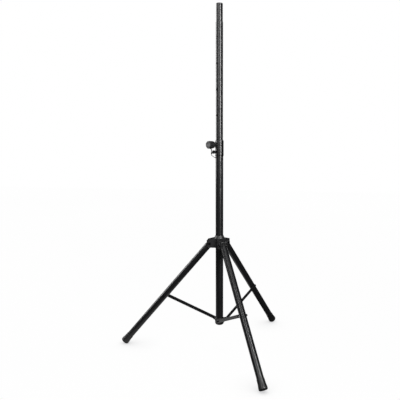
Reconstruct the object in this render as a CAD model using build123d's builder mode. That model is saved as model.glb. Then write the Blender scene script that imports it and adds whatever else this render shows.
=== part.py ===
from build123d import *
from math import cos, radians, sin
import os

# Tripod speaker stand with a telescoping pole, modelled standing open.
# Millimetres, +Z up, origin on the column axis at floor level.

# --- column and pole -------------------------------------------------------
tube_od = 41.5
tube_wall = 1.5
tube_bottom_z = 150.0
tube_top_z = 1126.0
pole_od = 38.0
pole_wall = 1.8
pole_bottom_z = 858.2
pole_top_z = 1775.0
spigot_od = 35.0
spigot_wall = 1.6
spigot_depth = 60.0
ring_top_z = 1778.0
ring_bore = 17.6
spigot_top_z = 1868.0
running = 0.05

# --- pin holes in the pole: four above the collar, two inside it ------------
side_azimuth = 230.0
pin_z = 1105.0
pin_radius = 4.0
pole_hole_radius = 4.5
hole_pitch = 134.2
top_hole_z = 1700.8
hole_heights = [top_hole_z - n * hole_pitch for n in range(4)]
hole_heights += [pin_z, pin_z - hole_pitch]

# --- collar at the top of the lower tube ------------------------------------
collar_bottom_z = 1083.0
collar_top_z = 1166.0
collar_radius = 22.7
clamp_z = 1143.5
clamp_screw_radius = 4.0
bush_radius = 21.1
screw_heights = [1094.0, 1117.0]
screw_seat = 21.9
fixing_radius = 1.9
pin_bush_radius = 6.2
pin_bush_start = 21.5
pin_bush_shoulder = 27.0

# --- locking pin and its tether -----------------------------------------------
pin_tip = 19.4
head_start = 37.5
head_end = 44.0
head_radius = 9.3
eye_distance = 48.0
ring_major = 3.9
ring_minor = 0.8
ring_drop = 15.6
cable_radius = 1.4
strand_half = 2.4
crimp_bottom = 1094.5
crimp_height = 7.0
anchor_azimuth = 205.0
anchor_z = 1075.0

# --- sliding hub -------------------------------------------------------------
hub_bottom_z = 582.0
hub_shoulder_z = 635.0
hub_top_z = 650.0
hub_sleeve_radius = 28.5
hub_bush_radius = 23.5
arm_reach = 69.0
arm_half_width = 22.5
arm_corner = 8.0
pad_radius = 9.5
pad_height = 1.0
channel_half_width = 18.5
hub_lock_azimuth = 120.0
hub_lock_z = 600.0

# --- legs --------------------------------------------------------------------
leg_azimuths = {"left": 180.0, "front": 300.0, "rear": 60.0}
leg_angle = 40.2
pivot_radius = 51.0
pivot_z = 606.0
leg_od = 36.0
leg_wall = 1.5
leg_tube_start = 15.0
leg_tube_end = 748.0
leg_length = 778.0
foot_radius = 22.5
foot_cap_start = 724.0
leg_bolt_radius = 4.0

# --- braces ------------------------------------------------------------------
brace_point = 407.0
brace_offset = 21.5
brace_thickness = 5.0
brace_height = 17.0
brace_inner_radius = 31.0
brace_inner_z = 171.0
brace_bolt_radius = 3.0

# --- bottom bracket ------------------------------------------------------------
cup_radius = 24.5
cup_top_z = 182.0
cup_floor_z = 142.0
rivet_turn = 15.0
rivet_z = 168.0

# --- derived -----------------------------------------------------------------
tube_radius = tube_od / 2
tube_bore = tube_radius - tube_wall
pole_radius = pole_od / 2
pole_bore = pole_radius - pole_wall
spigot_radius = spigot_od / 2
leg_radius = leg_od / 2
leg_bore = leg_radius - leg_wall
lean = radians(leg_angle)
brace_outer_radius = pivot_radius + brace_point * sin(lean)
brace_outer_z = pivot_z - brace_point * cos(lean)

os.makedirs("parts", exist_ok=True)


def radial(azimuth):
    """Unit vector pointing out from the column at this azimuth."""
    return Vector(cos(radians(azimuth)), sin(radians(azimuth)), 0)


def tangent(azimuth):
    """Unit vector along the clockwise side of a leg, seen from above."""
    return Vector(sin(radians(azimuth)), -cos(radians(azimuth)), 0)


def side_plane(azimuth, z=0.0, offset=0.0):
    """Upright plane through the axis: local x runs outward, local y runs up."""
    origin = tangent(azimuth) * offset + Vector(0, 0, z)
    return Plane(origin=origin, x_dir=radial(azimuth), z_dir=tangent(azimuth))


def facing_plane(azimuth, z, distance):
    """Plane square to a radial line: its normal points away from the column."""
    origin = radial(azimuth) * distance + Vector(0, 0, z)
    return Plane(origin=origin, x_dir=tangent(azimuth), z_dir=radial(azimuth))


def leg_point(azimuth, distance):
    """Point on a leg's centre line, this far down from its pivot."""
    out = pivot_radius + distance * sin(lean)
    return radial(azimuth) * out + Vector(0, 0, pivot_z - distance * cos(lean))


def leg_direction(azimuth):
    return radial(azimuth) * sin(lean) + Vector(0, 0, -cos(lean))


def leg_normal(azimuth):
    return radial(azimuth) * cos(lean) + Vector(0, 0, sin(lean))


def leg_cross_plane(azimuth, distance):
    """Plane square to the leg, its normal pointing down towards the foot."""
    return Plane(
        origin=leg_point(azimuth, distance),
        x_dir=tangent(azimuth),
        z_dir=leg_direction(azimuth),
    )


def leg_section_plane(azimuth, offset=0.0):
    """Lengthwise plane of a leg: local y runs down the leg from the pivot."""
    return Plane(
        origin=leg_point(azimuth, 0) + tangent(azimuth) * offset,
        x_dir=leg_normal(azimuth),
        z_dir=tangent(azimuth) * -1,
    )


def cross_bolt_plane(azimuth, distance, offset):
    """Plane square to a bolt that crosses a leg, its normal on the clockwise side."""
    return Plane(
        origin=leg_point(azimuth, distance) + tangent(azimuth) * offset,
        x_dir=leg_direction(azimuth),
        z_dir=tangent(azimuth),
    )


def save(builder, name):
    builder.part.label = name
    export_step(builder.part, f"parts/{name}.step")


# ============================ fixed column ===================================

with BuildPart() as lower_tube:
    with BuildSketch(Plane.XY.offset(tube_bottom_z)):
        Circle(tube_radius)
        Circle(tube_bore, mode=Mode.SUBTRACT)
    extrude(amount=tube_top_z - tube_bottom_z)
    # hole for the locking pin
    with BuildSketch(facing_plane(side_azimuth, pin_z, 15)):
        Circle(pin_radius + running)
    extrude(amount=10, mode=Mode.SUBTRACT)
    # holes for the collar's screws and the bottom bracket's rivets
    for z in screw_heights:
        with BuildSketch(facing_plane(side_azimuth + 180, z, 15)):
            Circle(fixing_radius)
        extrude(amount=10, mode=Mode.SUBTRACT)
    for azimuth in leg_azimuths.values():
        with BuildSketch(facing_plane(azimuth + rivet_turn, rivet_z, 15)):
            Circle(fixing_radius)
        extrude(amount=10, mode=Mode.SUBTRACT)
save(lower_tube, "lower_tube")

# moulded collar that closes the top of the tube and carries knob and pin
with BuildPart() as collar:
    with BuildSketch(Plane.XZ):
        with BuildLine():
            Polyline(
                (tube_radius, collar_bottom_z),
                (collar_radius - 0.6, collar_bottom_z),
                (collar_radius, collar_bottom_z + 3),
                (collar_radius, collar_top_z - 5),
                (collar_radius - 0.4, collar_top_z - 1),
                (collar_radius - 1.0, collar_top_z),
                (bush_radius, collar_top_z),
                (bush_radius, tube_top_z),
                (tube_radius, tube_top_z),
                (tube_radius, collar_bottom_z),
            )
        make_face()
    revolve(axis=Axis.Z)
    # boss for the clamp screw, with a web above and below it
    with BuildSketch(facing_plane(side_azimuth, clamp_z, 18.5)):
        Circle(12.4)
    extrude(amount=12, taper=12)
    with BuildSketch(side_plane(side_azimuth, clamp_z, -6)):
        with BuildLine():
            Polyline(
                (18, 20.5),
                (23.5, 18),
                (25.3, 9.2),
                (30.4, 7.5),
                (30.4, -7.5),
                (25.3, -9.2),
                (23.5, -18),
                (18, -22.5),
                (18, 20.5),
            )
        make_face()
    extrude(amount=12)
    with BuildSketch(facing_plane(side_azimuth, clamp_z, 15)):
        Circle(7)
    extrude(amount=20, mode=Mode.SUBTRACT)
    # boss and hole for the locking pin's bush
    with BuildSketch(facing_plane(side_azimuth, pin_z, 18.5)):
        Circle(10.4)
    extrude(amount=pin_bush_shoulder - 18.5, taper=8)
    with BuildSketch(facing_plane(side_azimuth, pin_z, 15)):
        Circle(pin_radius + running)
    extrude(amount=20, mode=Mode.SUBTRACT)
    with BuildSketch(facing_plane(side_azimuth, pin_z, pin_bush_start)):
        Circle(pin_bush_radius)
    extrude(amount=20, mode=Mode.SUBTRACT)
    # seats for the two screws behind
    for z in screw_heights:
        with BuildSketch(facing_plane(side_azimuth + 180, z, screw_seat)):
            Circle(3.6)
        extrude(amount=4, mode=Mode.SUBTRACT)
        with BuildSketch(facing_plane(side_azimuth + 180, z, 15)):
            Circle(fixing_radius)
        extrude(amount=12, mode=Mode.SUBTRACT)
    # keep the spaces of the tube and of its bush clear
    with BuildSketch(Plane.XY.offset(collar_bottom_z - 5)):
        Circle(tube_radius)
    extrude(amount=tube_top_z - collar_bottom_z + 5, mode=Mode.SUBTRACT)
    with BuildSketch(Plane.XY.offset(tube_top_z)):
        Circle(bush_radius)
    extrude(amount=60, mode=Mode.SUBTRACT)
save(collar, "collar")

# bearing bush in the mouth of the tube, where the pole slides
with BuildPart() as collar_bush:
    with BuildSketch(Plane.XZ):
        with BuildLine():
            Polyline(
                (pole_radius + running, tube_top_z),
                (bush_radius, tube_top_z),
                (bush_radius, collar_top_z),
                (bush_radius - 0.6, collar_top_z + 0.8),
                (pole_radius + 1.2, collar_top_z + 0.8),
                (pole_radius + running, collar_top_z - 0.6),
                (pole_radius + running, tube_top_z),
            )
        make_face()
    revolve(axis=Axis.Z)
    with BuildSketch(facing_plane(side_azimuth, clamp_z, 15)):
        Circle(5.6)
    extrude(amount=10, mode=Mode.SUBTRACT)
save(collar_bush, "collar_bush")

# self-tapping screws that hold the collar to the tube
with BuildPart() as collar_screws:
    for z in screw_heights:
        with BuildSketch(facing_plane(side_azimuth + 180, z, tube_bore + 0.1)):
            Circle(fixing_radius)
        extrude(amount=screw_seat - tube_bore)
        with BuildSketch(facing_plane(side_azimuth + 180, z, screw_seat)):
            Circle(3.4)
        extrude(amount=1.6)
save(collar_screws, "collar_screws")

with BuildPart() as clamp_insert:
    with BuildSketch(facing_plane(side_azimuth, clamp_z, 22.6)):
        Circle(7)
        Circle(clamp_screw_radius + running, mode=Mode.SUBTRACT)
    extrude(amount=8.0)
save(clamp_insert, "clamp_insert")

# flanged steel bush that guides the locking pin
with BuildPart() as pin_bush:
    with BuildSketch(facing_plane(side_azimuth, pin_z, pin_bush_start)):
        Circle(pin_bush_radius)
    extrude(amount=pin_bush_shoulder - pin_bush_start)
    with BuildSketch(facing_plane(side_azimuth, pin_z, pin_bush_shoulder)):
        Circle(8.4)
    extrude(amount=2.6)
    chamfer(pin_bush.faces().sort_by(Axis(Vector(0, 0, 0), radial(side_azimuth)))[-1].edges(), 0.5)
    with BuildSketch(facing_plane(side_azimuth, pin_z, 15)):
        Circle(pin_radius + running)
    extrude(amount=20, mode=Mode.SUBTRACT)
save(pin_bush, "pin_bush")

# nylon pad that the clamp screw presses against the pole
with BuildPart() as clamp_pad:
    with BuildSketch(facing_plane(side_azimuth, clamp_z, pole_radius - 2)):
        Circle(5.5)
    extrude(amount=22.4 - pole_radius + 2)
    with BuildSketch(Plane.XY.offset(clamp_z - 20)):
        Circle(pole_radius + running)
    extrude(amount=40, mode=Mode.SUBTRACT)
save(clamp_pad, "clamp_pad")

# bottom bracket: a moulded cup around the tube end with three brace lugs
with BuildPart() as base_bracket:
    with BuildSketch(Plane.XZ):
        with BuildLine():
            Line((0, cup_floor_z), (14, cup_floor_z))
            Spline((14, cup_floor_z), (21, 145.5), (cup_radius, 154))
            Line((cup_radius, 154), (cup_radius, cup_top_z - 1.5))
            Line((cup_radius, cup_top_z - 1.5), (cup_radius - 1.5, cup_top_z))
            Line((cup_radius - 1.5, cup_top_z), (tube_radius, cup_top_z))
            Line((tube_radius, cup_top_z), (tube_radius, tube_bottom_z))
            Line((tube_radius, tube_bottom_z), (tube_bore - 2.2, tube_bottom_z))
            Line((tube_bore - 2.2, tube_bottom_z), (tube_bore - 2.2, 146.5))
            Line((tube_bore - 2.2, 146.5), (0, 146.5))
            Line((0, 146.5), (0, cup_floor_z))
        make_face()
    revolve(axis=Axis.Z)
    for azimuth in leg_azimuths.values():
        # lug plate beside the leg's plane, with its rounded pivot end
        with BuildSketch(side_plane(azimuth, offset=14.5)):
            with BuildLine():
                Polyline(
                    (12, 154),
                    (27, 157.5),
                    (brace_inner_radius, brace_inner_z - 8),
                    (brace_inner_radius, brace_inner_z + 8),
                    (12, brace_inner_z + 8),
                    (12, 154),
                )
            make_face()
            with Locations((brace_inner_radius, brace_inner_z)):
                Circle(8)
        extrude(amount=brace_offset - 14.5)
        with BuildSketch(side_plane(azimuth, offset=8)):
            with Locations((brace_inner_radius, brace_inner_z)):
                Circle(brace_bolt_radius)
        extrude(amount=16, mode=Mode.SUBTRACT)
        # rivet hole through the cup wall
        with BuildSketch(facing_plane(azimuth + rivet_turn, rivet_z, 15)):
            Circle(fixing_radius)
        extrude(amount=15, mode=Mode.SUBTRACT)
    with BuildSketch(Plane.XY.offset(tube_bottom_z)):
        Circle(tube_radius)
    extrude(amount=50, mode=Mode.SUBTRACT)
save(base_bracket, "base_bracket")

with BuildPart() as base_rivets:
    for azimuth in leg_azimuths.values():
        with BuildSketch(facing_plane(azimuth + rivet_turn, rivet_z, tube_bore)):
            Circle(fixing_radius)
        extrude(amount=cup_radius - tube_bore)
        with BuildSketch(facing_plane(azimuth + rivet_turn, rivet_z, cup_radius)):
            Circle(3.8)
        extrude(amount=1.4, taper=20)
save(base_rivets, "base_rivets")

with BuildPart() as brace_pivot_bolts:
    for azimuth in leg_azimuths.values():
        with BuildSketch(side_plane(azimuth, offset=7.6)):
            with Locations((brace_inner_radius, brace_inner_z)):
                Circle(brace_bolt_radius)
        extrude(amount=brace_offset + brace_thickness + 0.3 - 7.6)
        with BuildSketch(side_plane(azimuth, offset=brace_offset + brace_thickness + 0.3)):
            with Locations((brace_inner_radius, brace_inner_z)):
                Circle(6.2)
        extrude(amount=3.4, taper=22)
save(brace_pivot_bolts, "brace_pivot_bolts")

with BuildPart() as brace_pivot_nuts:
    for azimuth in leg_azimuths.values():
        with BuildSketch(side_plane(azimuth, offset=9.4)):
            with Locations((brace_inner_radius, brace_inner_z)):
                RegularPolygon(5.0, 6, major_radius=False)
                Circle(brace_bolt_radius, mode=Mode.SUBTRACT)
        extrude(amount=5.1)
save(brace_pivot_nuts, "brace_pivot_nuts")

# ============================ telescoping pole ===============================

# plastic guide on the pole's lower end; the pole can turn on its neck
with BuildPart() as pole_guide:
    with BuildSketch(Plane.XZ):
        with BuildLine():
            Polyline(
                (12.5, pole_bottom_z - 12.2),
                (tube_bore - 1.0, pole_bottom_z - 12.2),
                (tube_bore - running, pole_bottom_z - 11.2),
                (tube_bore - running, pole_bottom_z - 0.2),
                (pole_bore - running, pole_bottom_z - 0.2),
                (pole_bore - running, pole_bottom_z + 30),
                (12.5, pole_bottom_z + 30),
                (12.5, pole_bottom_z - 12.2),
            )
        make_face()
    revolve(axis=Axis.Z)
save(pole_guide, "pole_guide")

with BuildPart() as pole_tube:
    with BuildSketch(Plane.XY.offset(pole_bottom_z)):
        Circle(pole_radius)
        Circle(pole_bore, mode=Mode.SUBTRACT)
    extrude(amount=pole_top_z - pole_bottom_z)
    for z in hole_heights:
        with BuildSketch(facing_plane(side_azimuth, z, -25)):
            Circle(pole_hole_radius)
        extrude(amount=50, mode=Mode.SUBTRACT)
save(pole_tube, "pole_tube")

# spigot: its turned-down lower end is pressed into the pole and passes through the ring
with BuildPart() as spigot_tube:
    with BuildSketch(Plane.XY.offset(pole_top_z - spigot_depth)):
        Circle(pole_bore)
    extrude(amount=ring_top_z - pole_top_z + spigot_depth)
    with BuildSketch(Plane.XY.offset(ring_top_z)):
        Circle(spigot_radius)
    extrude(amount=spigot_top_z - ring_top_z)
    with BuildSketch(Plane.XY.offset(pole_top_z - spigot_depth)):
        Circle(spigot_radius - spigot_wall)
    extrude(amount=spigot_top_z - pole_top_z + spigot_depth, mode=Mode.SUBTRACT)
save(spigot_tube, "spigot_tube")

# thin ring on the shoulder, where the speaker's socket comes to rest
with BuildPart() as shoulder_ring:
    with BuildSketch(Plane.XY.offset(pole_top_z)):
        Circle(pole_radius)
        Circle(ring_bore, mode=Mode.SUBTRACT)
    extrude(amount=ring_top_z - pole_top_z)
    chamfer(shoulder_ring.edges().group_by(Axis.Z)[-1].sort_by(SortBy.LENGTH)[-1], 0.6)
save(shoulder_ring, "shoulder_ring")

with BuildPart() as spigot_cap:
    with BuildSketch(Plane.XZ):
        with BuildLine():
            Line((0, spigot_top_z + 4.2), (0, spigot_top_z - 16))
            Line((0, spigot_top_z - 16), (spigot_radius - spigot_wall, spigot_top_z - 16))
            Line(
                (spigot_radius - spigot_wall, spigot_top_z - 16),
                (spigot_radius - spigot_wall, spigot_top_z),
            )
            Line(
                (spigot_radius - spigot_wall, spigot_top_z),
                (spigot_radius, spigot_top_z),
            )
            Line((spigot_radius, spigot_top_z), (spigot_radius, spigot_top_z + 1.2))
            Line(
                (spigot_radius, spigot_top_z + 1.2),
                (spigot_radius - 2.4, spigot_top_z + 3.6),
            )
            Line((spigot_radius - 2.4, spigot_top_z + 3.6), (0, spigot_top_z + 4.2))
        make_face()
    revolve(axis=Axis.Z)
    # hollow underside of the moulding
    with BuildSketch(Plane.XY.offset(spigot_top_z - 16)):
        Circle(spigot_radius - spigot_wall - 2)
    extrude(amount=15, mode=Mode.SUBTRACT)
save(spigot_cap, "spigot_cap")

# ============================ clamp knob =====================================


def lock_knob(azimuth, z, neck, length, radius, flutes):
    """Tapered fluted hand knob whose axis is a radial line of the column."""
    rim = neck + length
    axis = Axis(Vector(0, 0, z), radial(azimuth))
    with BuildPart() as knob:
        with BuildSketch(side_plane(azimuth, z)):
            with BuildLine():
                Polyline(
                    (neck, 0),
                    (neck, 0.52 * radius),
                    (neck + 5, 0.54 * radius),
                    (neck + 9, 0.68 * radius),
                    (neck + 14, 0.90 * radius),
                    (neck + 20, 0.97 * radius),
                    (rim - 10, radius),
                    (rim - 2.5, radius),
                    (rim, radius - 2.5),
                    (rim, 13),
                    (rim - 2.5, 12),
                    (rim - 2.5, 0),
                    (neck, 0),
                )
            make_face()
        revolve(axis=axis)
        # finger flutes around the rim
        with BuildSketch(facing_plane(azimuth, z, rim - 14)):
            with PolarLocations(radius + 2.6, flutes):
                Circle(4.6)
        extrude(amount=16, mode=Mode.SUBTRACT)
        # seat for the stud
        with BuildSketch(facing_plane(azimuth, z, neck - 1)):
            Circle(clamp_screw_radius)
        extrude(amount=length - 12, mode=Mode.SUBTRACT)
    return knob


knob_neck = 31.6
knob_length = 49.5
knob_radius = 20.3
clamp_knob = lock_knob(side_azimuth, clamp_z, knob_neck, knob_length, knob_radius, 9)
save(clamp_knob, "clamp_knob")

with BuildPart() as clamp_screw:
    with BuildSketch(facing_plane(side_azimuth, clamp_z, 22.5)):
        Circle(clamp_screw_radius)
    extrude(amount=knob_neck - 1 + knob_length - 12 - 22.5)
    chamfer(clamp_screw.faces().sort_by(Axis(Vector(0, 0, 0), radial(side_azimuth)))[0].edges(), 0.8)
save(clamp_screw, "clamp_screw")

# coloured disc pressed into the knob's face
with BuildPart() as clamp_knob_disc:
    with BuildSketch(facing_plane(side_azimuth, clamp_z, knob_neck + knob_length - 2.5)):
        Circle(11.2)
    extrude(amount=1.2)
save(clamp_knob_disc, "clamp_knob_disc")

# ============================ locking pin ====================================

with BuildPart() as locking_pin:
    with BuildSketch(facing_plane(side_azimuth, pin_z, pin_tip)):
        Circle(pin_radius)
    extrude(amount=head_start + 4 - pin_tip)
    chamfer(locking_pin.faces().sort_by(Axis(Vector(0, 0, 0), radial(side_azimuth)))[0].edges(), 1.0)
save(locking_pin, "locking_pin")

with BuildPart() as pin_head:
    with BuildSketch(facing_plane(side_azimuth, pin_z, head_start)):
        Circle(head_radius)
    extrude(amount=head_end - head_start)
    chamfer(pin_head.edges().filter_by(GeomType.CIRCLE), 1.2)
    with BuildSketch(facing_plane(side_azimuth, pin_z, head_start - 1)):
        Circle(pin_radius)
    extrude(amount=5, mode=Mode.SUBTRACT)
    # eye for the split ring
    with BuildSketch(side_plane(side_azimuth, pin_z, -1.5)):
        with Locations(((head_end + eye_distance) / 2 - 1, 0)):
            Rectangle(eye_distance - head_end + 2, 7)
        with Locations((eye_distance, 0)):
            Circle(3.5)
    extrude(amount=3)
    with BuildSketch(side_plane(side_azimuth, pin_z, -4)):
        with Locations((eye_distance, 0)):
            Circle(2.0)
    extrude(amount=8, mode=Mode.SUBTRACT)
save(pin_head, "pin_head")

# split ring through the eye, hanging outward and down
ring_hang = radial(side_azimuth) * cos(radians(ring_drop)) + Vector(0, 0, -sin(radians(ring_drop)))
eye_centre = radial(side_azimuth) * eye_distance + Vector(0, 0, pin_z)
ring_centre = eye_centre + ring_hang * ring_major
ring_normal = tangent(side_azimuth).cross(ring_hang)
with BuildPart() as pin_ring:
    ring_start = Plane(
        origin=ring_centre + ring_hang * ring_major,
        x_dir=ring_hang,
        z_dir=ring_normal.cross(ring_hang),
    )
    with BuildSketch(ring_start):
        Circle(ring_minor)
    revolve(axis=Axis(ring_centre, ring_normal))
save(pin_ring, "pin_ring")


def beside(distance, z, aside):
    """Point near the locking pin: out along its axis, up, and to one side."""
    return radial(side_azimuth) * distance + tangent(side_azimuth) * aside + Vector(0, 0, z)


def anchor_line(distance):
    """Point on the cable anchor's own radial line."""
    return radial(anchor_azimuth) * distance + Vector(0, 0, anchor_z)


# coated cable: from its anchor on the tube up through the ring, once round the
# clamp screw's boss behind the knob, and back down through the ring to the crimp
strand_distance = (ring_centre + ring_hang * ring_major).dot(radial(side_azimuth))
outer_strand = strand_distance + strand_half
inner_strand = strand_distance - strand_half
turn_z = clamp_z - knob_radius - 4.6
boss_side = 27.3
boss_reach = 13.0
with BuildPart() as tether_cable:
    with BuildLine() as cable_path:
        FilletPolyline(
            anchor_line(tube_radius + 1.6),
            anchor_line(27),
            beside(outer_strand, crimp_bottom - 5.5, 0),
            beside(outer_strand, turn_z, 0),
            beside(55.5, 1131, 24.5),
            beside(44, 1150, 21),
            beside(boss_side, clamp_z + boss_reach, boss_reach),
            beside(boss_side, clamp_z + boss_reach, -boss_reach),
            beside(boss_side, clamp_z - boss_reach, -boss_reach),
            beside(boss_side, clamp_z - boss_reach, boss_reach),
            beside(40, 1140, 21),
            beside(50.5, 1129.5, 24),
            beside(inner_strand, turn_z, 0),
            beside(inner_strand, crimp_bottom - 0.5, 0),
            radius=[4, 5, 7, 8, 10, 6, 12.9, 12.9, 6, 6, 8, 7],
        )
    with BuildSketch(Plane(origin=cable_path.line @ 0, z_dir=cable_path.line % 0)):
        Circle(cable_radius)
    sweep()
save(tether_cable, "tether_cable")

# crimped sleeve that closes the loop under the ring
with BuildPart() as tether_crimp:
    crimp_origin = beside(strand_distance, crimp_bottom, 0)
    with BuildSketch(Plane(origin=crimp_origin, x_dir=radial(side_azimuth), z_dir=(0, 0, 1))):
        SlotOverall(9.4, 4.8)
        with Locations((-strand_half, 0), (strand_half, 0)):
            Circle(cable_radius, mode=Mode.SUBTRACT)
    extrude(amount=crimp_height)
save(tether_crimp, "tether_crimp")

with BuildPart() as tether_anchor:
    with BuildSketch(facing_plane(anchor_azimuth, anchor_z, tube_radius - 0.8)):
        Circle(3.4)
    extrude(amount=4.2)
    with BuildSketch(Plane.XY.offset(anchor_z - 10)):
        Circle(tube_radius)
    extrude(amount=20, mode=Mode.SUBTRACT)
    with BuildSketch(facing_plane(anchor_azimuth, anchor_z, tube_radius + 1)):
        Circle(cable_radius + 0.4)
    extrude(amount=8, mode=Mode.SUBTRACT)
save(tether_anchor, "tether_anchor")

# ============================ sliding hub ====================================

with BuildPart() as hub:
    with BuildSketch(Plane.XZ):
        with BuildLine():
            Polyline(
                (hub_bush_radius, hub_bottom_z),
                (hub_sleeve_radius - 1, hub_bottom_z),
                (hub_sleeve_radius, hub_bottom_z + 1),
                (hub_sleeve_radius, hub_shoulder_z),
                (tube_radius + 1.4, hub_top_z),
                (tube_radius + 0.3, hub_top_z),
                (tube_radius + 0.3, hub_top_z - 5),
                (hub_bush_radius, hub_top_z - 5.2),
                (hub_bush_radius, hub_bottom_z),
            )
        make_face()
    revolve(axis=Axis.Z)
    for azimuth in leg_azimuths.values():
        # arm: an upside-down channel that holds the top of the leg
        with BuildSketch(side_plane(azimuth, offset=-arm_half_width)):
            with BuildLine():
                Polyline(
                    (12, 634.5),
                    (32, 634.5),
                    (arm_reach - 3.5, 625.5),
                    (arm_reach, 621),
                    (arm_reach, 596),
                    (arm_reach - 9, hub_bottom_z + 1),
                    (12, hub_bottom_z + 1),
                    (12, 634.5),
                )
            make_face()
        extrude(amount=2 * arm_half_width)
        # round pad around the pivot bolt on each cheek
        for offset in (-arm_half_width - pad_height, arm_half_width):
            with BuildSketch(side_plane(azimuth, offset=offset)):
                with Locations((pivot_radius, pivot_z)):
                    Circle(pad_radius)
            extrude(amount=pad_height)
        # rounded outer corners, seen from above
        with BuildSketch(Plane(origin=(0, 0, hub_bottom_z - 5), x_dir=radial(azimuth), z_dir=(0, 0, 1))):
            with BuildLine():
                corner_x = arm_reach - arm_corner
                corner_y = arm_half_width - arm_corner
                corner_bow = arm_corner * cos(radians(45))
                ThreePointArc(
                    (arm_reach, corner_y),
                    (corner_x + corner_bow, corner_y + corner_bow),
                    (corner_x, arm_half_width),
                )
                Polyline(
                    (corner_x, arm_half_width),
                    (corner_x, arm_half_width + 3),
                    (arm_reach + 3, arm_half_width + 3),
                    (arm_reach + 3, corner_y),
                    (arm_reach, corner_y),
                )
            make_face()
            mirror(about=Plane.XZ)
        extrude(amount=70, mode=Mode.SUBTRACT)
    # clear the leg channels
    for azimuth in leg_azimuths.values():
        with BuildSketch(side_plane(azimuth, offset=-channel_half_width)):
            with BuildLine():
                Polyline(
                    (hub_sleeve_radius, hub_bottom_z - 5),
                    (hub_sleeve_radius, 627),
                    (34, 629.5),
                    (arm_reach - 4.5, 622.5),
                    (arm_reach - 0.5, 617.5),
                    (arm_reach + 20, 617.5),
                    (arm_reach + 20, hub_bottom_z - 5),
                    (hub_sleeve_radius, hub_bottom_z - 5),
                )
            make_face()
        extrude(amount=2 * channel_half_width, mode=Mode.SUBTRACT)
        with BuildSketch(side_plane(azimuth, offset=-40)):
            with Locations((pivot_radius, pivot_z)):
                Circle(leg_bolt_radius)
        extrude(amount=80, mode=Mode.SUBTRACT)
    # boss for the hub's own lock screw
    with BuildSketch(facing_plane(hub_lock_azimuth, hub_lock_z, 24)):
        Circle(12)
    extrude(amount=12, taper=8)
    with BuildSketch(facing_plane(hub_lock_azimuth, hub_lock_z, 15)):
        Circle(7)
    extrude(amount=25, mode=Mode.SUBTRACT)
    # bore for the liner
    with BuildSketch(Plane.XY.offset(hub_bottom_z - 1)):
        Circle(hub_bush_radius)
    extrude(amount=hub_top_z - 5.2 - hub_bottom_z + 1, mode=Mode.SUBTRACT)
save(hub, "hub")

with BuildPart() as hub_liner:
    with BuildSketch(Plane.XY.offset(hub_bottom_z - 1.5)):
        Circle(hub_bush_radius)
        Circle(tube_radius + running, mode=Mode.SUBTRACT)
    extrude(amount=hub_top_z - 5.4 - hub_bottom_z + 1.5)
    with BuildSketch(facing_plane(hub_lock_azimuth, hub_lock_z, 15)):
        Circle(5.6)
    extrude(amount=12, mode=Mode.SUBTRACT)
save(hub_liner, "hub_liner")

with BuildPart() as hub_insert:
    with BuildSketch(facing_plane(hub_lock_azimuth, hub_lock_z, 26)):
        Circle(7)
        Circle(clamp_screw_radius + running, mode=Mode.SUBTRACT)
    extrude(amount=9.5)
save(hub_insert, "hub_insert")

with BuildPart() as hub_pad:
    with BuildSketch(facing_plane(hub_lock_azimuth, hub_lock_z, 18)):
        Circle(5.5)
    extrude(amount=7.5)
    with BuildSketch(Plane.XY.offset(hub_lock_z - 20)):
        Circle(tube_radius + running)
    extrude(amount=40, mode=Mode.SUBTRACT)
save(hub_pad, "hub_pad")

bolt_seat = arm_half_width + pad_height
with BuildPart() as leg_pivot_bolts:
    for azimuth in leg_azimuths.values():
        with BuildSketch(cross_bolt_plane(azimuth, 0, -bolt_seat)):
            Circle(leg_bolt_radius)
        extrude(amount=2 * bolt_seat + 6.8)
        with BuildSketch(cross_bolt_plane(azimuth, 0, -bolt_seat - 5.5)):
            RegularPolygon(6.5, 6, major_radius=False)
        extrude(amount=5.5)
save(leg_pivot_bolts, "leg_pivot_bolts")

with BuildPart() as leg_pivot_nuts:
    for azimuth in leg_azimuths.values():
        with BuildSketch(cross_bolt_plane(azimuth, 0, bolt_seat)):
            RegularPolygon(6.5, 6, major_radius=False)
            Circle(leg_bolt_radius, mode=Mode.SUBTRACT)
        extrude(amount=5.5)
save(leg_pivot_nuts, "leg_pivot_nuts")

hub_knob_neck = 37.0
hub_knob_length = 38.0
hub_knob = lock_knob(hub_lock_azimuth, hub_lock_z, hub_knob_neck, hub_knob_length, 16.5, 8)
save(hub_knob, "hub_knob")

with BuildPart() as hub_lock_screw:
    with BuildSketch(facing_plane(hub_lock_azimuth, hub_lock_z, 25.6)):
        Circle(clamp_screw_radius)
    extrude(amount=hub_knob_neck - 1 + hub_knob_length - 12 - 25.6)
save(hub_lock_screw, "hub_lock_screw")

# ============================ legs ===========================================


def leg_tube(azimuth):
    with BuildPart() as tube:
        with BuildSketch(leg_cross_plane(azimuth, leg_tube_start)):
            Circle(leg_radius)
            Circle(leg_bore, mode=Mode.SUBTRACT)
        extrude(amount=leg_tube_end - leg_tube_start)
        # hole for the brace bolt
        with BuildSketch(cross_bolt_plane(azimuth, brace_point, -30)):
            Circle(brace_bolt_radius)
        extrude(amount=60, mode=Mode.SUBTRACT)
    return tube


def leg_fitting(azimuth):
    """Nylon tongue at the top of the leg, turning on the hub's pivot bolt."""
    half = channel_half_width - 0.15
    tongue_radius = 14.5
    with BuildPart() as fitting:
        with BuildSketch(leg_section_plane(azimuth, offset=half)):
            Circle(tongue_radius)
            with Locations((0, leg_tube_start / 2)):
                Rectangle(2 * tongue_radius, leg_tube_start)
        extrude(amount=2 * half)
        with BuildSketch(leg_cross_plane(azimuth, leg_tube_start)):
            Circle(leg_bore)
            Circle(leg_bore - 3, mode=Mode.SUBTRACT)
        extrude(amount=30)
        with BuildSketch(cross_bolt_plane(azimuth, 0, -40)):
            Circle(leg_bolt_radius + running)
        extrude(amount=80, mode=Mode.SUBTRACT)
    return fitting


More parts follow.
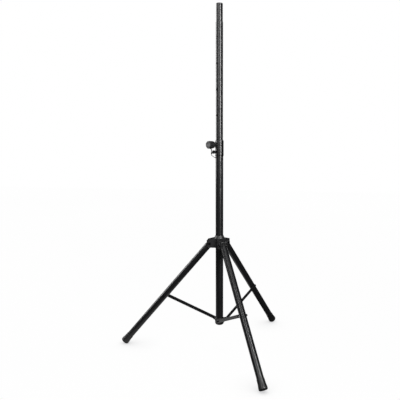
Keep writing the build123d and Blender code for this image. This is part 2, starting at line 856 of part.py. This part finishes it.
def rubber_foot(azimuth):
    """Rubber cap with a flared, rounded end and a small worn flat on the floor."""
    with BuildPart() as foot:
        with BuildSketch(leg_section_plane(azimuth)):
            with BuildLine():
                Line((0, leg_tube_end), (leg_radius, leg_tube_end))
                Line((leg_radius, leg_tube_end), (leg_radius, foot_cap_start))
                Line((leg_radius, foot_cap_start), (leg_radius + 0.9, foot_cap_start))
                Spline(
                    (leg_radius + 0.9, foot_cap_start),
                    (leg_radius + 1.7, foot_cap_start + 16),
                    (foot_radius - 0.9, leg_length - 18),
                    (foot_radius, leg_length - 5),
                    tangents=((0.3, 1), (0, 1)),
                )
                RadiusArc((foot_radius, leg_length - 5), (foot_radius - 5, leg_length), -5)
                Line((foot_radius - 5, leg_length), (0, leg_length))
                Line((0, leg_length), (0, leg_tube_end))
            make_face()
        revolve(axis=Axis(leg_point(azimuth, 0), leg_direction(azimuth)))
        # everything below the floor is worn away
        with BuildSketch(Plane.XY.offset(-20)):
            with Locations((600 * cos(radians(azimuth)), 600 * sin(radians(azimuth)))):
                Rectangle(300, 300)
        extrude(amount=20, mode=Mode.SUBTRACT)
    return foot


spacer_end = brace_offset - 0.3
far_side = leg_radius + 1.6


def brace_bolt(azimuth):
    """Bolt through the leg with its head on the far side and a thick washer under it."""
    with BuildPart() as bolt:
        with BuildSketch(cross_bolt_plane(azimuth, brace_point, -far_side)):
            Circle(brace_bolt_radius)
        extrude(amount=far_side + spacer_end)
        with BuildSketch(cross_bolt_plane(azimuth, brace_point, -far_side - 4.2)):
            RegularPolygon(5.0, 6, major_radius=False)
        extrude(amount=4.2)
    return bolt


def saddle_washer(azimuth, side):
    """Washer hollowed to sit on the round leg: side is +1 towards the brace."""
    near = -far_side if side < 0 else leg_radius - 4
    far = -leg_radius + 4 if side < 0 else spacer_end
    with BuildPart() as washer:
        with BuildSketch(cross_bolt_plane(azimuth, brace_point, near)):
            Circle(7)
            Circle(brace_bolt_radius, mode=Mode.SUBTRACT)
        extrude(amount=far - near)
        with BuildSketch(leg_cross_plane(azimuth, brace_point - 20)):
            Circle(leg_radius)
        extrude(amount=40, mode=Mode.SUBTRACT)
    return washer


def brace_bar(azimuth):
    """Flat steel brace with rounded eyes and a pressed groove along its outer face."""
    inner = Vector(brace_inner_radius, brace_inner_z)
    outer = Vector(brace_outer_radius, brace_outer_z)
    run = outer - inner
    with BuildPart() as brace:
        with BuildSketch(side_plane(azimuth, offset=brace_offset)):
            with BuildLine():
                middle = Line((inner.X, inner.Y), (outer.X, outer.Y))
            with Locations(middle @ 0.5):
                SlotCenterToCenter(
                    run.length,
                    brace_height,
                    rotation=middle.tangent_angle_at(0.5),
                )
        extrude(amount=brace_thickness)
        with BuildSketch(side_plane(azimuth, offset=brace_offset + 1.8)):
            with Locations(middle @ 0.5):
                SlotCenterToCenter(
                    run.length - 38,
                    brace_height - 8,
                    rotation=middle.tangent_angle_at(0.5),
                )
        extrude(amount=brace_thickness, mode=Mode.SUBTRACT)
        with BuildSketch(side_plane(azimuth, offset=brace_offset - 1)):
            with Locations((inner.X, inner.Y)):
                Circle(brace_bolt_radius + running)
            with Locations((outer.X, outer.Y)):
                Circle(brace_bolt_radius)
        extrude(amount=brace_thickness + 2, mode=Mode.SUBTRACT)
    return brace


def brace_rivet(azimuth):
    """Shouldered rivet in the brace's outer eye, lined up with the leg's bolt."""
    with BuildPart() as rivet:
        with BuildSketch(side_plane(azimuth, offset=brace_offset)):
            with Locations((brace_outer_radius, brace_outer_z)):
                Circle(brace_bolt_radius)
        extrude(amount=brace_thickness)
        with BuildSketch(side_plane(azimuth, offset=brace_offset + brace_thickness)):
            with Locations((brace_outer_radius, brace_outer_z)):
                Circle(6.2)
        extrude(amount=3.4, taper=22)
    return rivet


for side_name, leg_azimuth in leg_azimuths.items():
    save(leg_tube(leg_azimuth), f"leg_tube_{side_name}")
    save(leg_fitting(leg_azimuth), f"leg_fitting_{side_name}")
    save(rubber_foot(leg_azimuth), f"rubber_foot_{side_name}")
    save(brace_bolt(leg_azimuth), f"brace_bolt_{side_name}")
    save(saddle_washer(leg_azimuth, -1), f"bolt_washer_{side_name}")
    save(saddle_washer(leg_azimuth, 1), f"brace_spacer_{side_name}")
    save(brace_bar(leg_azimuth), f"brace_{side_name}")
    save(brace_rivet(leg_azimuth), f"brace_rivet_{side_name}")
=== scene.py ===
import bpy
import math
from mathutils import Matrix, Vector


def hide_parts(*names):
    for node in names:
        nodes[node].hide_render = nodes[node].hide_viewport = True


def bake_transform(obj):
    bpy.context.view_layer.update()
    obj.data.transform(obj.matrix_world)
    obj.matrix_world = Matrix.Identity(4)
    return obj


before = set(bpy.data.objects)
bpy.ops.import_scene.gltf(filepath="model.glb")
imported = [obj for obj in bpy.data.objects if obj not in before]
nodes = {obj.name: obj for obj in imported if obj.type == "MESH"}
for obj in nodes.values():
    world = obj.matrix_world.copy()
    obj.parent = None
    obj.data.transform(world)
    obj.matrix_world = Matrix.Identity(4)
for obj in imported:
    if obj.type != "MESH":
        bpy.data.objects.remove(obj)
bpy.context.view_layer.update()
scene = bpy.context.scene
scene.view_settings.view_transform = "Standard"
MM = 0.001


# ================================ materials =================================
class Graph:
    """Small helper that builds one procedural material."""

    def __init__(self, name):
        self.material = bpy.data.materials.new(name)
        self.material.use_nodes = True
        self.tree = self.material.node_tree
        self.shader = self.tree.nodes["Principled BSDF"]
        self.coords = self.add("ShaderNodeTexCoord")

    def add(self, kind, **settings):
        node = self.tree.nodes.new(kind)
        for key, value in settings.items():
            if key in node.inputs:
                node.inputs[key].default_value = value
            else:
                setattr(node, key, value)
        return node

    def link(self, a, b):
        self.tree.links.new(a, b)

    def feed(self, source, name):
        self.link(source, self.shader.inputs[name])

    def noise(self, scale, detail=3.0, roughness=0.55, stretch=(1, 1, 1)):
        mapping = self.add("ShaderNodeMapping")
        mapping.inputs["Scale"].default_value = stretch
        self.link(self.coords.outputs["Object"], mapping.inputs["Vector"])
        texture = self.add("ShaderNodeTexNoise", Scale=scale, Detail=detail, Roughness=roughness)
        self.link(mapping.outputs["Vector"], texture.inputs["Vector"])
        return texture.outputs["Fac"]

    def ramp(self, source, low, high, start=0.3, end=0.7):
        """Colour ramp between two colours."""
        node = self.add("ShaderNodeValToRGB")
        node.color_ramp.elements[0].position = start
        node.color_ramp.elements[1].position = end
        node.color_ramp.elements[0].color = (*low, 1)
        node.color_ramp.elements[1].color = (*high, 1)
        self.link(source, node.inputs["Fac"])
        return node.outputs["Color"]

    def span(self, source, low, high, start=0.3, end=0.7):
        """Map a value onto a range."""
        node = self.add("ShaderNodeMapRange")
        node.inputs["From Min"].default_value = start
        node.inputs["From Max"].default_value = end
        node.inputs["To Min"].default_value = low
        node.inputs["To Max"].default_value = high
        self.link(source, node.inputs["Value"])
        return node.outputs["Result"]

    def math(self, operation, a, b):
        node = self.add("ShaderNodeMath", operation=operation)
        for socket, value in zip(node.inputs, (a, b)):
            if isinstance(value, (int, float)):
                socket.default_value = value
            else:
                self.link(value, socket)
        return node.outputs["Value"]

    def mix(self, factor, a, b):
        node = self.add("ShaderNodeMix", data_type="RGBA")
        sockets = [s for s in node.inputs if s.enabled]
        self.link(factor, sockets[0])
        for socket, value in zip(sockets[1:], (a, b)):
            if isinstance(value, tuple):
                socket.default_value = (*value, 1)
            else:
                self.link(value, socket)
        return [s for s in node.outputs if s.enabled][0]

    def edges(self, radius):
        """Mask that is 1 on sharp edges, and the softened normal itself."""
        bevel = self.add("ShaderNodeBevel", Radius=radius, samples=4)
        flat = self.add("ShaderNodeNewGeometry")
        dot = self.add("ShaderNodeVectorMath", operation="DOT_PRODUCT")
        self.link(bevel.outputs["Normal"], dot.inputs[0])
        self.link(flat.outputs["Normal"], dot.inputs[1])
        return self.span(dot.outputs["Value"], 1.0, 0.0, 0.80, 0.985), bevel.outputs["Normal"]

    def bump(self, height, strength, distance, normal=None):
        node = self.add("ShaderNodeBump", Strength=strength, Distance=distance)
        self.link(height, node.inputs["Height"])
        if normal is not None:
            self.link(normal, node.inputs["Normal"])
        self.link(node.outputs["Normal"], self.shader.inputs["Normal"])


def powder_coat():
    """Satin black paint: faint orange peel, uneven sheen, rubbed a little at edges."""
    g = Graph("powder_coat")
    cloud = g.noise(5.0, 4.0)
    peel = g.noise(700.0, 2.0)
    rub = g.noise(60.0, 5.0, 0.7)
    worn, soft = g.edges(0.7 * MM)
    paint = g.ramp(cloud, (0.0035, 0.0036, 0.004), (0.0065, 0.0066, 0.0072))
    worn = g.math("MULTIPLY", worn, g.span(rub, 0.0, 0.35, 0.45, 0.7))
    g.feed(g.mix(worn, paint, (0.10, 0.10, 0.105)), "Base Color")
    g.feed(g.math("ADD", g.span(cloud, 0.29, 0.32), g.span(rub, -0.005, 0.005)), "Roughness")
    g.bump(peel, 0.02, 0.25 * MM, soft)
    return g.material


def moulded(name, base, rough, grain=1500.0, tint=(1.0, 1.0, 1.05), shine=0.5):
    """Moulded plastic with a fine spark texture and slightly scuffed edges."""
    g = Graph(name)
    g.shader.inputs["Specular IOR Level"].default_value = shine
    cloud = g.noise(14.0, 3.0)
    spark = g.noise(grain, 2.0)
    scuff = g.noise(90.0, 5.0, 0.7)
    worn, soft = g.edges(0.8 * MM)
    low = tuple(base * t for t in tint)
    high = tuple(1.6 * base * t for t in tint)
    worn = g.math("MULTIPLY", worn, g.span(scuff, 0.1, 0.6, 0.4, 0.7))
    g.feed(g.mix(worn, g.ramp(cloud, low, high), tuple(4.5 * base * t for t in tint)), "Base Color")
    g.feed(g.math("ADD", g.span(cloud, rough - 0.04, rough + 0.05), g.span(spark, -0.03, 0.04)), "Roughness")
    g.bump(spark, 0.30, 0.25 * MM, soft)
    return g.material


def rubber():
    """Matt rubber, a little dusty where it meets the floor."""
    g = Graph("black_rubber")
    split = g.add("ShaderNodeSeparateXYZ")
    g.link(g.coords.outputs["Object"], split.inputs["Vector"])
    speckle = g.noise(240.0, 4.0, 0.7)
    low_down = g.span(split.outputs["Z"], 0.75, 0.0, 0.0, 0.028)
    dust = g.math("MULTIPLY", low_down, g.span(speckle, 0.0, 1.0, 0.35, 0.65))
    clean = g.ramp(g.noise(30.0), (0.0045, 0.0045, 0.0045), (0.008, 0.008, 0.0083))
    g.feed(g.mix(dust, clean, (0.030, 0.029, 0.027)), "Base Color")
    g.feed(g.span(speckle, 0.36, 0.46), "Roughness")
    _, soft = g.edges(1.2 * MM)
    g.bump(speckle, 0.12, 0.3 * MM, soft)
    return g.material


def plated(name, low, high, rough, scale=500.0, stretch=(1, 1, 1)):
    """Plated or machined metal with fine marks."""
    g = Graph(name)
    g.shader.inputs["Metallic"].default_value = 1.0
    streak = g.noise(scale, 4.0, 0.6, stretch)
    cloud = g.noise(60.0, 3.0)
    _, soft = g.edges(0.4 * MM)
    g.feed(g.ramp(cloud, low, high), "Base Color")
    g.feed(g.math("ADD", g.span(streak, rough - 0.06, rough + 0.08), g.span(cloud, -0.03, 0.05)), "Roughness")
    g.bump(streak, 0.12, 0.1 * MM, soft)
    return g.material


PAINT = powder_coat()
NYLON = moulded("moulded_nylon", 0.0055, 0.34)
GLOSSY = moulded("polished_nylon", 0.004, 0.24)
KNOB = moulded("knob_plastic", 0.007, 0.36)
HEAD = moulded("pin_head_plastic", 0.003, 0.36, shine=0.12)
HUB = moulded("hub_nylon", 0.005, 0.44)
DISC = moulded("knob_disc", 0.030, 0.38)
COATING = moulded("cable_coating", 0.006, 0.38, 900.0, shine=0.25)
RUBBER = rubber()
BLACK_ZINC = plated("black_zinc", (0.014, 0.014, 0.016), (0.035, 0.035, 0.038), 0.32)
ZINC = plated("bright_zinc", (0.40, 0.40, 0.41), (0.60, 0.60, 0.61), 0.27)
BRASS = plated("turned_brass", (0.45, 0.30, 0.11), (0.62, 0.45, 0.19), 0.28)

PAINTED = ("lower_tube", "pole_tube", "spigot_tube", "brace_left", "brace_front", "brace_rear")
BRIGHT = ("locking_pin", "clamp_screw", "hub_lock_screw")
DARK_METAL = ("pin_bush", "tether_crimp", "pin_ring", "tether_anchor", "collar_screws", "base_rivets")


def material_for(name):
    if name in PAINTED or name.startswith("leg_tube"):
        return PAINT
    if name.startswith("rubber_foot"):
        return RUBBER
    if name in ("clamp_insert", "hub_insert"):
        return BRASS
    if name in BRIGHT:
        return ZINC
    if name in ("clamp_knob", "hub_knob"):
        return KNOB
    if name == "pin_head":
        return HEAD
    if name in ("hub", "hub_liner"):
        return HUB
    if name == "collar":
        return GLOSSY
    if name == "clamp_knob_disc":
        return DISC
    if name == "tether_cable":
        return COATING
    if name in DARK_METAL or "bolt" in name or "nuts" in name or "rivet" in name:
        return BLACK_ZINC
    return NYLON


for name, node in nodes.items():
    node.data.materials.clear()
    node.data.materials.append(material_for(name))

# ================================== tether ===================================
# a copy of the tether cable, with its custom properties cleared and its transform baked in, stands in for the
# original, which is hidden
cable = nodes["tether_cable"].copy()
cable.data = nodes["tether_cable"].data.copy()
cable.name = "flexing_tether"
scene.collection.objects.link(cable)
cable.parent = None
for key in list(cable.keys()):
    del cable[key]
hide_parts("tether_cable")
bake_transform(cable)

# ============================== floor and light ==============================
def camera_switch(tree, seen, unseen):
    """Mix of two shaders: one that the camera sees, one for every other ray."""
    paths = tree.nodes.new("ShaderNodeLightPath")
    mix = tree.nodes.new("ShaderNodeMixShader")
    tree.links.new(paths.outputs["Is Camera Ray"], mix.inputs[0])
    tree.links.new(unseen, mix.inputs[1])
    tree.links.new(seen, mix.inputs[2])
    return mix.outputs["Shader"]


def pale_floor():
    """Near-white to the camera with soft contact shadows, dim in reflections."""
    g = Graph("pale_floor")
    contact = g.add("ShaderNodeAmbientOcclusion", samples=16, Distance=0.16)
    shade = g.span(contact.outputs["AO"], 0.0, 1.0, 0.25, 0.95)
    pale = g.ramp(g.noise(2.0), (0.985, 0.985, 0.985), (1.0, 1.0, 1.0))
    seen = g.add("ShaderNodeEmission")
    g.link(g.mix(shade, (0.62, 0.62, 0.63), pale), seen.inputs["Color"])
    unseen = g.add("ShaderNodeBsdfDiffuse", Color=(0.05, 0.05, 0.05, 1))
    output = g.tree.nodes["Material Output"]
    g.link(camera_switch(g.tree, seen.outputs[0], unseen.outputs[0]), output.inputs["Surface"])
    return g.material


bpy.ops.mesh.primitive_plane_add(size=1, location=(0, 0, -0.0006))
floor = bpy.context.object
floor.name = "floor"
floor.scale = (16, 16, 1)
floor.data.materials.append(pale_floor())

world = bpy.data.worlds.new("studio")
scene.world = world
world.use_nodes = True
backdrop = world.node_tree.nodes["Background"]
backdrop.inputs["Color"].default_value = (1, 1, 1, 1)
fill = world.node_tree.nodes.new("ShaderNodeBackground")
fill.inputs["Color"].default_value = (0.008, 0.008, 0.0085, 1)
world.node_tree.links.new(
    camera_switch(world.node_tree, backdrop.outputs[0], fill.outputs[0]),
    world.node_tree.nodes["World Output"].inputs["Surface"],
)

VIEW_AZIMUTH = 8.05


def around(azimuth, distance, height):
    """Point round the stand: azimuth 0 is the camera's side, positive to its right."""
    a = math.radians(270 + VIEW_AZIMUTH + azimuth)
    return (distance * math.cos(a), distance * math.sin(a), height)


def area_light(name, place, aim, width, height, radiance):
    """Rectangular light; the power follows from its brightness and size."""
    data = bpy.data.lights.new(name, "AREA")
    data.shape = "RECTANGLE"
    data.size = width
    data.size_y = height
    data.energy = radiance * math.pi * width * height
    light = bpy.data.objects.new(name, data)
    scene.collection.objects.link(light)
    light.location = place
    light.visible_camera = False
    light.rotation_euler = (Vector(aim) - Vector(place)).to_track_quat("-Z", "Y").to_euler()


area_light("right_strip", around(35, 2.7, 1.95), (0, 0, 1.4), 0.40, 2.3, 39)
area_light("left_strip", around(-31, 2.7, 2.45), (0, 0, 1.4), 0.24, 2.0, 16)
area_light("front_wall", around(-6, 4.2, 2.2), (0, 0, 1.2), 4.4, 2.6, 1.5)
area_light("left_panel", around(-108, 2.4, 2.1), (0, 0, 1.2), 1.2, 2.8, 6)
area_light("floor_glow", around(-134, 0.75, 0.004), around(-134, 0.75, 1.0), 1.3, 1.3, 0.45)
area_light("rear_right", around(148, 2.8, 1.9), (0, 0, 1.2), 0.3, 2.6, 3)
area_light("rear_left", around(-152, 2.8, 1.9), (0, 0, 1.2), 0.3, 2.6, 5)
area_light("overhead", around(0, 0.9, 3.6), (0, 0, 0.6), 1.6, 1.2, 2.5)

# ================================== camera ===================================
CAMERA_DISTANCE = 2.868
CAMERA_HEIGHT = 1.2174
CAMERA_PITCH = 7.711
FOCAL_OVER_WIDTH = 1.3303
camera_data = bpy.data.cameras.new("camera")
camera = bpy.data.objects.new("camera", camera_data)
scene.collection.objects.link(camera)
scene.camera = camera
camera.location = around(0, CAMERA_DISTANCE, CAMERA_HEIGHT)
camera.rotation_euler = (math.radians(90 - CAMERA_PITCH), 0, math.radians(VIEW_AZIMUTH))
camera_data.sensor_width = 36.0
camera_data.lens = 36.0 * FOCAL_OVER_WIDTH
camera_data.shift_x = -0.0486
camera_data.shift_y = 0.0069
